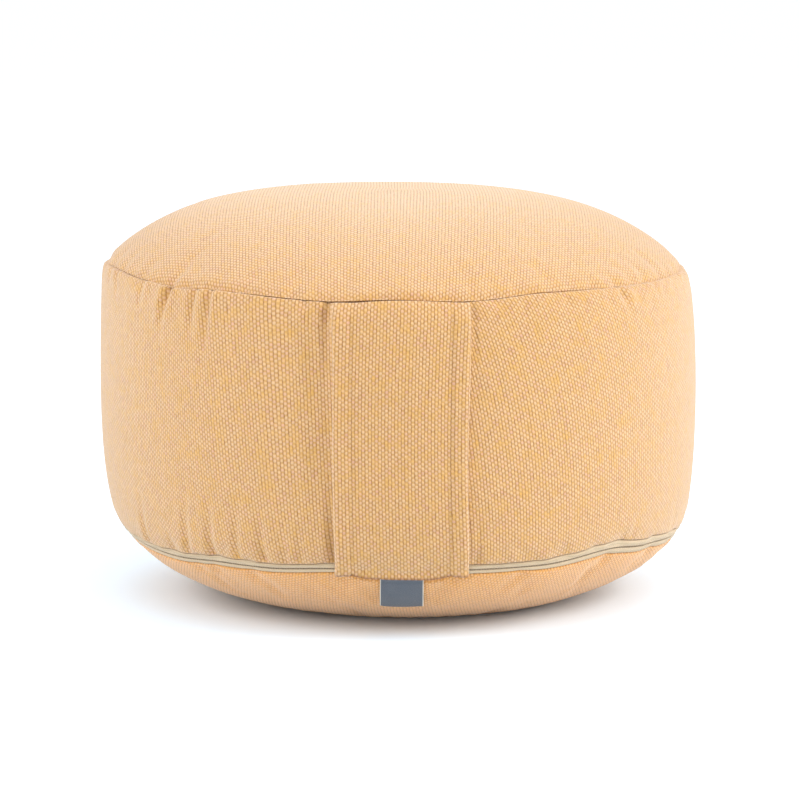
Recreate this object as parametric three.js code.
// Round meditation cushion: a filled cover of three panels, with a carry strap, a zip and a bare woven label.
// Millimetres. Z is up, the strap faces -Y, and the origin is on the cushion's axis, in its resting face.
// An azimuth is in degrees, 0 at the front (-Y), 90 at the right (+X).
import * as THREE from 'three';

// Cover panels
const TOP_SEAM_RADIUS = 158.4;
const TOP_SEAM_HEIGHT = 180.2;
const CROWN_TOP = 221.8;
const CROWN_POWER = { front: 2.3, right: 3.5, back: 3.7, left: 4.1 };
const ZIP_RADIUS = 153;
const ZIP_HEIGHT = 37.7;
const BAND_BULGE = 9.2;
const BAND_SQUARENESS = 0.72;
const BAND_SAG = { left: 0.45, right: 0.05 };
const CONTACT_RADIUS = 85.7;
const BASE_ROUNDNESS = 1.42;

// Sideways drift of the filling: each ring's centre lies this far to the right of the axis
const TOP_DRIFT = -1.6;
const ZIP_DRIFT = 2.5;
const CONTACT_DRIFT = 7;

// Sewn lines
const SEAM_DEPTH = 2.4;
const SEAM_HALF_WIDTH = 3.2;
const RECESS_DEPTH = 1.6;
const RECESS_WALL = 0.5;

// Zip
const TAPE_THICKNESS = 1;
const TAPE_SUNK = 0.3;
const UPPER_TAPE_EDGE = 4.3;
const LOWER_TAPE_EDGE = 3.6;
const TAPE_INNER_EDGE = 0.7;
const COIL_HALF_WIDTH = 0.4;
const COIL_SUNK = 0.6;
const SLIDER = { azimuth: 97, length: 9, width: 6.4, thickness: 2.2, corner: 1.6 };
const PULL = { length: 15, width: 4.6, thickness: 1.2, corner: 2 };

// Carry strap
const STRAP_CENTRE_X = 1.8;
const STRAP_WIDTH = { top: 69.8, bottom: 68.4 };
const STRAP_THICKNESS = 2.4;
const HEM_WIDTH = 8.5;
const HEM_RISE = 0.7;
const STRAP_END_THICKNESS = 1;
const STRAP_END_RUN = 4;
const STRAP_BELOW_ZIP = 4.3;

// Woven label
const LABEL = { centreX: 2.2, width: 22.4, length: 17.5, thickness: 1, standOff: 2.2, curve: 0.8 };

// Clearance kept between separate pieces
const GAP = 0.3;

// Height of the sewn lines above or below their mean, around the cushion
const TOP_SEAM_WANDER = [
  { azimuth: -180, rise: 0.8 },
  { azimuth: -140, rise: -0.9 },
  { azimuth: -105, rise: 1.6 },
  { azimuth: -72, rise: 3.6 },
  { azimuth: -55, rise: 1.4 },
  { azimuth: -47, rise: -0.3 },
  { azimuth: -38, rise: 0.9 },
  { azimuth: -12, rise: -2 },
  { azimuth: 1, rise: -0.5 },
  { azimuth: 14, rise: -1.9 },
  { azimuth: 29, rise: 0.6 },
  { azimuth: 60, rise: -0.2 },
  { azimuth: 110, rise: -1 },
  { azimuth: 145, rise: 0.7 },
];
const ZIP_WANDER = [
  { azimuth: -180, rise: 0.4 },
  { azimuth: -130, rise: -0.8 },
  { azimuth: -76, rise: -1 },
  { azimuth: -51, rise: -2.6 },
  { azimuth: -38, rise: -1.1 },
  { azimuth: -28, rise: -1.2 },
  { azimuth: -13, rise: 0.8 },
  { azimuth: 28, rise: 0 },
  { azimuth: 46, rise: 3.4 },
  { azimuth: 58, rise: 0.8 },
  { azimuth: 75, rise: -1.5 },
  { azimuth: 120, rise: 0.6 },
];

// Troughs in the side band that run down from the top seam, and up from the zip
// lean is how far a trough's far end lies round from its sewn end, in degrees
const TOP_PUCKERS = [
  { azimuth: -68.5, depth: 1, halfWidth: 4, length: 34, lean: 0.5 },
  { azimuth: -60, depth: 1, halfWidth: 4, length: 28, lean: 0 },
  { azimuth: -48.1, depth: 2.6, halfWidth: 3.6, length: 22, lean: -2.4 },
  { azimuth: -41.3, depth: 1.8, halfWidth: 3.2, length: 27, lean: -1.4 },
  { azimuth: -37.5, depth: 2, halfWidth: 3, length: 42, lean: 0.8 },
  { azimuth: -13.6, depth: 2.4, halfWidth: 5, length: 112, lean: 0.3 },
  { azimuth: 15.2, depth: 1.1, halfWidth: 4, length: 96, lean: 0 },
  { azimuth: 24.5, depth: 0.8, halfWidth: 3.5, length: 16, lean: 0 },
  { azimuth: 47.5, depth: 1.8, halfWidth: 3.4, length: 15, lean: 1.6 },
  { azimuth: 104, depth: 1.4, halfWidth: 4, length: 26, lean: -1 },
  { azimuth: 152, depth: 1.6, halfWidth: 4, length: 30, lean: 1 },
  { azimuth: -158, depth: 1.8, halfWidth: 4, length: 24, lean: -1 },
  { azimuth: -112, depth: 1.4, halfWidth: 4, length: 32, lean: 1 },
];
const ZIP_PUCKERS = [
  { azimuth: -60.5, depth: 1, halfWidth: 3.4, length: 26, lean: 2 },
  { azimuth: -45.4, depth: 0.9, halfWidth: 3.2, length: 24, lean: 1 },
  { azimuth: -42, depth: 1.3, halfWidth: 3.2, length: 30, lean: 4.4 },
  { azimuth: -35.6, depth: 0.9, halfWidth: 3, length: 20, lean: 2 },
  { azimuth: -28.6, depth: 0.8, halfWidth: 3, length: 22, lean: 1 },
  { azimuth: 118, depth: 1, halfWidth: 4, length: 24, lean: -1 },
  { azimuth: -168, depth: 1, halfWidth: 4, length: 28, lean: 1 },
];

// Grid steps
const AROUND_STEP = 4;
const PUCKER_CLEAR = 1.3;
const CROWN_RINGS = 9;
const BAND_RINGS = 14;
const BASE_RINGS = 7;
const STRAP_ROWS = 22;
const LABEL_ROWS = 7;
const LABEL_COLUMNS = 6;

const DEGREE = Math.PI / 180;
const BAND_RUN = Math.hypot(TOP_SEAM_HEIGHT - ZIP_HEIGHT, TOP_SEAM_RADIUS - ZIP_RADIUS) * 1.05;
const BASE_RUN = ZIP_HEIGHT * (Math.PI / 2) ** (2 / BASE_ROUNDNESS);

const cloth = new THREE.MeshStandardMaterial({ color: '#ecc28a', roughness: 0.92, metalness: 0 });
const strapCloth = new THREE.MeshStandardMaterial({ color: '#e6b67e', roughness: 0.92, metalness: 0 });
const tapeCloth = new THREE.MeshStandardMaterial({ color: '#d8c49a', roughness: 0.8, metalness: 0 });
const coilNylon = new THREE.MeshStandardMaterial({ color: '#b9a982', roughness: 0.5, metalness: 0 });
const zipMetal = new THREE.MeshStandardMaterial({ color: '#b4b0a6', roughness: 0.35, metalness: 0.9 });
const labelCloth = new THREE.MeshStandardMaterial({ color: '#69707b', roughness: 0.85, metalness: 0 });

// A smooth value between 0 and 1 that starts and ends level
function ease(x) {
  const t = Math.min(Math.max(x, 0), 1);
  return t * t * (3 - 2 * t);
}

// The height from a table round the cushion, eased from each row to the next
function riseAt(rows, azimuth) {
  const wrapped = ((azimuth + 540) % 360) - 180;
  const next = rows.findIndex((row) => row.azimuth > wrapped);
  const after = next < 0 ? { ...rows[0], azimuth: rows[0].azimuth + 360 } : rows[next];
  const before = next < 0 ? rows[rows.length - 1] : rows[next - 1];
  const share = (wrapped - before.azimuth) / (after.azimuth - before.azimuth);
  return before.rise + (after.rise - before.rise) * ease(share);
}

// How square the crown's section is: fuller at the sides and back than at the front
function crownPower(azimuth) {
  const turn = azimuth * DEGREE;
  const end = Math.cos(turn) > 0 ? CROWN_POWER.front : CROWN_POWER.back;
  const side = Math.sin(turn) > 0 ? CROWN_POWER.right : CROWN_POWER.left;
  return end + (side - end) * Math.sin(turn) ** 2;
}

// How far the side band bulges past a straight line between its sewn edges; it sags most on the left
function bandBulge(azimuth, up) {
  const share = 1 - up;
  const toRight = (1 + Math.sin(azimuth * DEGREE)) / 2;
  const sag = BAND_SAG.left + (BAND_SAG.right - BAND_SAG.left) * toRight;
  return BAND_BULGE * (4 * up * share) ** BAND_SQUARENESS * (1 + sag * (share - up));
}

// The cover without seams or puckers: radius, height and sideways drift at a share of the way down one panel
function section(azimuth, panel, share) {
  const seamHeight = TOP_SEAM_HEIGHT + riseAt(TOP_SEAM_WANDER, azimuth);
  const zipHeight = ZIP_HEIGHT + riseAt(ZIP_WANDER, azimuth);
  if (panel === 'crown') {
    const drop = share ** crownPower(azimuth);
    return {
      radius: TOP_SEAM_RADIUS * share,
      height: CROWN_TOP - (CROWN_TOP - seamHeight) * drop,
      drift: TOP_DRIFT * share * share,
    };
  }
  if (panel === 'band') {
    const up = 1 - share;
    return {
      radius: ZIP_RADIUS + (TOP_SEAM_RADIUS - ZIP_RADIUS) * up + bandBulge(azimuth, up),
      height: zipHeight + (seamHeight - zipHeight) * up,
      drift: ZIP_DRIFT + (TOP_DRIFT - ZIP_DRIFT) * up,
    };
  }
  const turn = (Math.PI / 2) * Math.min(share, 1) ** (BASE_ROUNDNESS / 2);
  const out = Math.max(Math.cos(turn), 0) ** (2 / BASE_ROUNDNESS);
  return {
    radius: CONTACT_RADIUS + (ZIP_RADIUS - CONTACT_RADIUS) * out,
    height: zipHeight * (1 - Math.sin(turn) ** (2 / BASE_ROUNDNESS)),
    drift: CONTACT_DRIFT + (ZIP_DRIFT - CONTACT_DRIFT) * out,
  };
}

function coverPoint(azimuth, panel, share) {
  const { radius, height, drift } = section(azimuth, panel, share);
  const turn = azimuth * DEGREE;
  return new THREE.Vector3(drift + radius * Math.sin(turn), -radius * Math.cos(turn), height);
}

// The cover's outward direction, from its slope round and down
function coverNormal(azimuth, panel, share) {
  const step = 0.004;
  const upper = Math.max(share - step, 0);
  const lower = Math.min(share + step, 1);
  const round = coverPoint(azimuth + 0.2, panel, share).sub(coverPoint(azimuth - 0.2, panel, share));
  const down = coverPoint(azimuth, panel, lower).sub(coverPoint(azimuth, panel, upper));
  return down.cross(round).normalize();
}

// The distance from the zip's middle line, in millimetres, as a panel and a share; above the zip is positive
function besideZip(distance) {
  if (distance > 0) {
    return { panel: 'band', share: 1 - distance / BAND_RUN };
  }
  return { panel: 'base', share: -distance / BASE_RUN };
}

// The depth of the troughs of one table, at an azimuth and a distance from their sewn ends
function puckerDepth(rows, azimuth, distance) {
  return rows.reduce((depth, row) => {
    const along = distance / row.length;
    const middle = row.azimuth + row.lean * along;
    const aside = ((azimuth - middle + 540) % 360) - 180;
    const across = (aside * DEGREE * TOP_SEAM_RADIUS) / row.halfWidth;
    return depth + row.depth * Math.exp(-across * across) * (1 - ease(along));
  }, 0);
}

// How far the sewn lines and puckers draw the cover in
function drawnIn(azimuth, panel, share) {
  if (panel === 'crown') {
    const fromSeam = (1 - share) * TOP_SEAM_RADIUS;
    return SEAM_DEPTH * Math.exp(-((fromSeam / SEAM_HALF_WIDTH) ** 2));
  }
  if (panel === 'band') {
    const fromSeam = share * BAND_RUN;
    const seam = SEAM_DEPTH * Math.exp(-((fromSeam / SEAM_HALF_WIDTH) ** 2));
    const fromZip = (1 - share) * BAND_RUN - UPPER_TAPE_EDGE;
    const upper = puckerDepth(TOP_PUCKERS, azimuth, fromSeam) * ease(fromSeam / 2);
    const lower = puckerDepth(ZIP_PUCKERS, azimuth, fromZip) * ease(fromZip / 3);
    return seam + upper + lower;
  }
  return 0;
}

// A point of the cover moved out along its normal
function raised(azimuth, panel, share, height) {
  return coverPoint(azimuth, panel, share).addScaledVector(coverNormal(azimuth, panel, share), height);
}

// Azimuths of the cover's grid: three at each pucker, and even steps between them
function azimuthStations() {
  const stations = [];
  for (const row of [...TOP_PUCKERS, ...ZIP_PUCKERS]) {
    const half = row.halfWidth / TOP_SEAM_RADIUS / DEGREE;
    stations.push(row.azimuth - half, row.azimuth, row.azimuth + half);
  }
  const kept = [];
  for (const azimuth of stations) {
    if (!kept.some((other) => Math.abs(other - azimuth) < PUCKER_CLEAR / 2)) {
      kept.push(azimuth);
    }
  }
  for (let azimuth = -180; azimuth < 180; azimuth += AROUND_STEP) {
    if (!kept.some((other) => Math.abs(other - azimuth) < PUCKER_CLEAR)) {
      kept.push(azimuth);
    }
  }
  return kept.sort((a, b) => a - b);
}

function geometryFrom(points, faces) {
  const geometry = new THREE.BufferGeometry().setFromPoints(points);
  geometry.setIndex(faces);
  geometry.computeVertexNormals();
  return geometry;
}

// A solid from rings of points, top ring first, closed by a fan at each end
function ringSolid(rings) {
  const count = rings[0].length;
  const points = rings.flat();
  const faces = [];
  for (let ring = 0; ring < rings.length - 1; ring += 1) {
    for (let i = 0; i < count; i += 1) {
      const a = ring * count + i;
      const b = ring * count + ((i + 1) % count);
      faces.push(a, a + count, b, b, a + count, b + count);
    }
  }
  const middle = (ring) => ring.reduce((sum, point) => sum.add(point), new THREE.Vector3()).divideScalar(count);
  const last = (rings.length - 1) * count;
  const topCentre = points.push(middle(rings[0])) - 1;
  const bottomCentre = points.push(middle(rings[rings.length - 1])) - 1;
  for (let i = 0; i < count; i += 1) {
    const next = (i + 1) % count;
    faces.push(topCentre, i, next);
    faces.push(bottomCentre, last + next, last + i);
  }
  return geometryFrom(points, faces);
}

// A sheet with thickness, from rows of outer points and of inner points
// Where it is closed, the last row joins the first and there are no ends
function sheetSolid(outer, inner, closed) {
  const rows = outer.length;
  const columns = outer[0].length;
  const points = [...outer.flat(), ...inner.flat()];
  const back = rows * columns;
  const faces = [];
  const quad = (a, b, c, d) => faces.push(a, b, c, a, c, d);
  const spans = closed ? rows : rows - 1;
  for (let row = 0; row < spans; row += 1) {
    const here = row * columns;
    const there = ((row + 1) % rows) * columns;
    for (let i = 0; i < columns - 1; i += 1) {
      quad(here + i, there + i, there + i + 1, here + i + 1);
      quad(back + here + i, back + here + i + 1, back + there + i + 1, back + there + i);
    }
    const end = columns - 1;
    quad(here, back + here, back + there, there);
    quad(here + end, there + end, back + there + end, back + here + end);
  }
  if (!closed) {
    const last = (rows - 1) * columns;
    for (let i = 0; i < columns - 1; i += 1) {
      quad(i, i + 1, back + i + 1, back + i);
      quad(last + i, back + last + i, back + last + i + 1, last + i + 1);
    }
  }
  return geometryFrom(points, faces);
}

function makeCushion() {
  const stations = azimuthStations();
  const upperWall = UPPER_TAPE_EDGE + GAP;
  const lowerWall = LOWER_TAPE_EDGE + GAP;
  const ring = (panel, share, sunk) =>
    stations.map((azimuth) => raised(azimuth, panel, share, -sunk - drawnIn(azimuth, panel, share)));
  const rings = [];
  for (let k = 1; k < CROWN_RINGS; k += 1) {
    rings.push(ring('crown', Math.sin((k / CROWN_RINGS) * (Math.PI / 2)), 0));
  }
  const seamFromCrown = ring('crown', 1, 0);
  const seamFromBand = ring('band', 0, 0);
  rings.push(seamFromCrown.map((point, i) => point.clone().lerp(seamFromBand[i], 0.5)));
  const bandEnd = besideZip(upperWall + RECESS_WALL).share;
  for (let k = 1; k <= BAND_RINGS; k += 1) {
    rings.push(ring('band', (bandEnd * (1 - Math.cos((k / BAND_RINGS) * Math.PI))) / 2, 0));
  }
  for (const distance of [upperWall, 0, -lowerWall]) {
    const { panel, share } = besideZip(distance);
    rings.push(ring(panel, share, RECESS_DEPTH));
  }
  const baseStart = besideZip(-lowerWall - RECESS_WALL).share;
  for (let k = 0; k <= BASE_RINGS; k += 1) {
    rings.push(ring('base', baseStart + ((1 - baseStart) * k) / BASE_RINGS, 0));
  }
  rings[rings.length - 1].forEach((point) => point.setZ(0));
  return ringSolid(rings);
}

// A strip of the zip: a closed ring between two distances from the zip's middle line
function zipRing(upperEdge, lowerEdge, sunk, thickness) {
  const outer = [];
  const inner = [];
  for (let azimuth = -180; azimuth < 180; azimuth += AROUND_STEP) {
    const places = [upperEdge, lowerEdge].map(besideZip);
    outer.push(places.map(({ panel, share }) => raised(azimuth, panel, share, -sunk)));
    inner.push(places.map(({ panel, share }) => raised(azimuth, panel, share, -sunk - thickness)));
  }
  return sheetSolid(
    outer.map((row) => row.reverse()),
    inner.map((row) => row.reverse()),
    true,
  );
}

// The azimuth at which a panel has a given sideways position at the front
function azimuthAtX(x, panel, share) {
  const { radius, drift } = section(0, panel, share);
  return Math.asin((x - drift) / radius) / DEGREE;
}

// The strap's thickness across it: a raised hem along each side, rounded at the very edge
const STRAP_COLUMNS = [
  { inset: 0, thickness: STRAP_THICKNESS * 0.45 },
  { inset: 0.5, thickness: STRAP_THICKNESS * 0.9 },
  { inset: 1.6, thickness: STRAP_THICKNESS + HEM_RISE },
  { inset: HEM_WIDTH - 1.5, thickness: STRAP_THICKNESS + HEM_RISE },
  { inset: HEM_WIDTH, thickness: STRAP_THICKNESS },
  { inset: HEM_WIDTH * 2, thickness: STRAP_THICKNESS },
];

function makeStrap() {
  const outer = [];
  const inner = [];
  const full = BAND_RUN + STRAP_BELOW_ZIP;
  for (let row = 0; row <= STRAP_ROWS; row += 1) {
    const down = (full * (1 - Math.cos((row / STRAP_ROWS) * Math.PI))) / 2;
    const { panel, share } = besideZip(BAND_RUN - down);
    const half = (STRAP_WIDTH.top + ((STRAP_WIDTH.bottom - STRAP_WIDTH.top) * down) / full) / 2;
    const fromEnd = Math.min(down, full - down) / STRAP_END_RUN;
    const fullness = Math.sqrt(1 - (1 - Math.min(fromEnd, 1)) ** 2);
    const columns = [
      ...STRAP_COLUMNS.map(({ inset, thickness }) => ({ aside: inset - half, thickness })),
      { aside: 0, thickness: STRAP_THICKNESS },
      ...STRAP_COLUMNS.map(({ inset, thickness }) => ({ aside: half - inset, thickness })).reverse(),
    ];
    const place = ({ aside }, height) =>
      raised(azimuthAtX(STRAP_CENTRE_X + aside, panel, share), panel, share, height);
    const rise = (thickness) => STRAP_END_THICKNESS + (thickness - STRAP_END_THICKNESS) * fullness;
    outer.push(columns.map((column) => place(column, GAP + rise(column.thickness))));
    inner.push(columns.map((column) => place(column, GAP)));
  }
  return sheetSolid(outer, inner, false);
}

// The label leaves the seam below the strap and stands off the base panel towards its free end
function makeLabel() {
  const outer = [];
  const inner = [];
  for (let row = 0; row <= LABEL_ROWS; row += 1) {
    const along = row / LABEL_ROWS;
    const place = (aside, height) => {
      const longer = LABEL.curve * (1 - (aside / (LABEL.width / 2)) ** 2) * along;
      const down = STRAP_BELOW_ZIP + GAP + LABEL.length * along + longer;
      const { panel, share } = besideZip(-down);
      return raised(azimuthAtX(LABEL.centreX + aside, panel, share), panel, share, height);
    };
    const height = GAP + (LABEL.standOff - GAP) * ease(along);
    const sides = Array.from({ length: LABEL_COLUMNS + 1 }, (_, i) => (i / LABEL_COLUMNS - 0.5) * LABEL.width);
    outer.push(sides.map((aside) => place(aside, height + LABEL.thickness)));
    inner.push(sides.map((aside) => place(aside, height)));
  }
  return sheetSolid(outer, inner, false);
}

// A flat plate with round corners, lying in XY with its back at z = 0
function roundedPlate(length, width, thickness, corner) {
  const x = length / 2 - corner;
  const y = width / 2 - corner;
  const shape = new THREE.Shape();
  shape.absarc(x, y, corner, 0, Math.PI / 2);
  shape.absarc(-x, y, corner, Math.PI / 2, Math.PI);
  shape.absarc(-x, -y, corner, Math.PI, 1.5 * Math.PI);
  shape.absarc(x, -y, corner, 1.5 * Math.PI, 2 * Math.PI);
  return new THREE.ExtrudeGeometry(shape, { depth: thickness, bevelEnabled: false, curveSegments: 4 });
}

function named(name, geometry, material) {
  const mesh = new THREE.Mesh(geometry, material);
  mesh.name = name;
  return mesh;
}

// Stands a plate on the zip: its length runs round the cushion, its width across both tapes, its face looks out
function onZip(mesh, height) {
  const at = (azimuth, distance) => {
    const { panel, share } = besideZip(distance);
    return coverPoint(azimuth, panel, share);
  };
  const above = at(SLIDER.azimuth, SLIDER.width / 2);
  const below = at(SLIDER.azimuth, -SLIDER.width / 2);
  const across = above.clone().sub(below).normalize();
  const round = at(SLIDER.azimuth + 1, 0).sub(at(SLIDER.azimuth - 1, 0));
  const normal = round.cross(across).normalize();
  mesh.matrix.makeBasis(across.clone().cross(normal), across, normal);
  mesh.matrix.setPosition(above.add(below).multiplyScalar(0.5).addScaledVector(normal, height));
  mesh.matrix.decompose(mesh.position, mesh.quaternion, mesh.scale);
  return mesh;
}

const slider = named(
  'zip_slider',
  roundedPlate(SLIDER.length, SLIDER.width, SLIDER.thickness, SLIDER.corner),
  zipMetal,
);
const pull = named('zip_pull', roundedPlate(PULL.length, PULL.width, PULL.thickness, PULL.corner), zipMetal);
const pieces = new THREE.Group();
pieces.add(
  named('cushion', makeCushion(), cloth),
  named('carry_strap', makeStrap(), strapCloth),
  named('zip_tape_upper', zipRing(UPPER_TAPE_EDGE, TAPE_INNER_EDGE, TAPE_SUNK, TAPE_THICKNESS), tapeCloth),
  named('zip_tape_lower', zipRing(-TAPE_INNER_EDGE, -LOWER_TAPE_EDGE, TAPE_SUNK, TAPE_THICKNESS), tapeCloth),
  named('zip_coil', zipRing(COIL_HALF_WIDTH, -COIL_HALF_WIDTH, COIL_SUNK, TAPE_THICKNESS - GAP), coilNylon),
  named('woven_label', makeLabel(), labelCloth),
  onZip(slider, GAP),
  onZip(pull, GAP + SLIDER.thickness + GAP),
);

export default pieces;
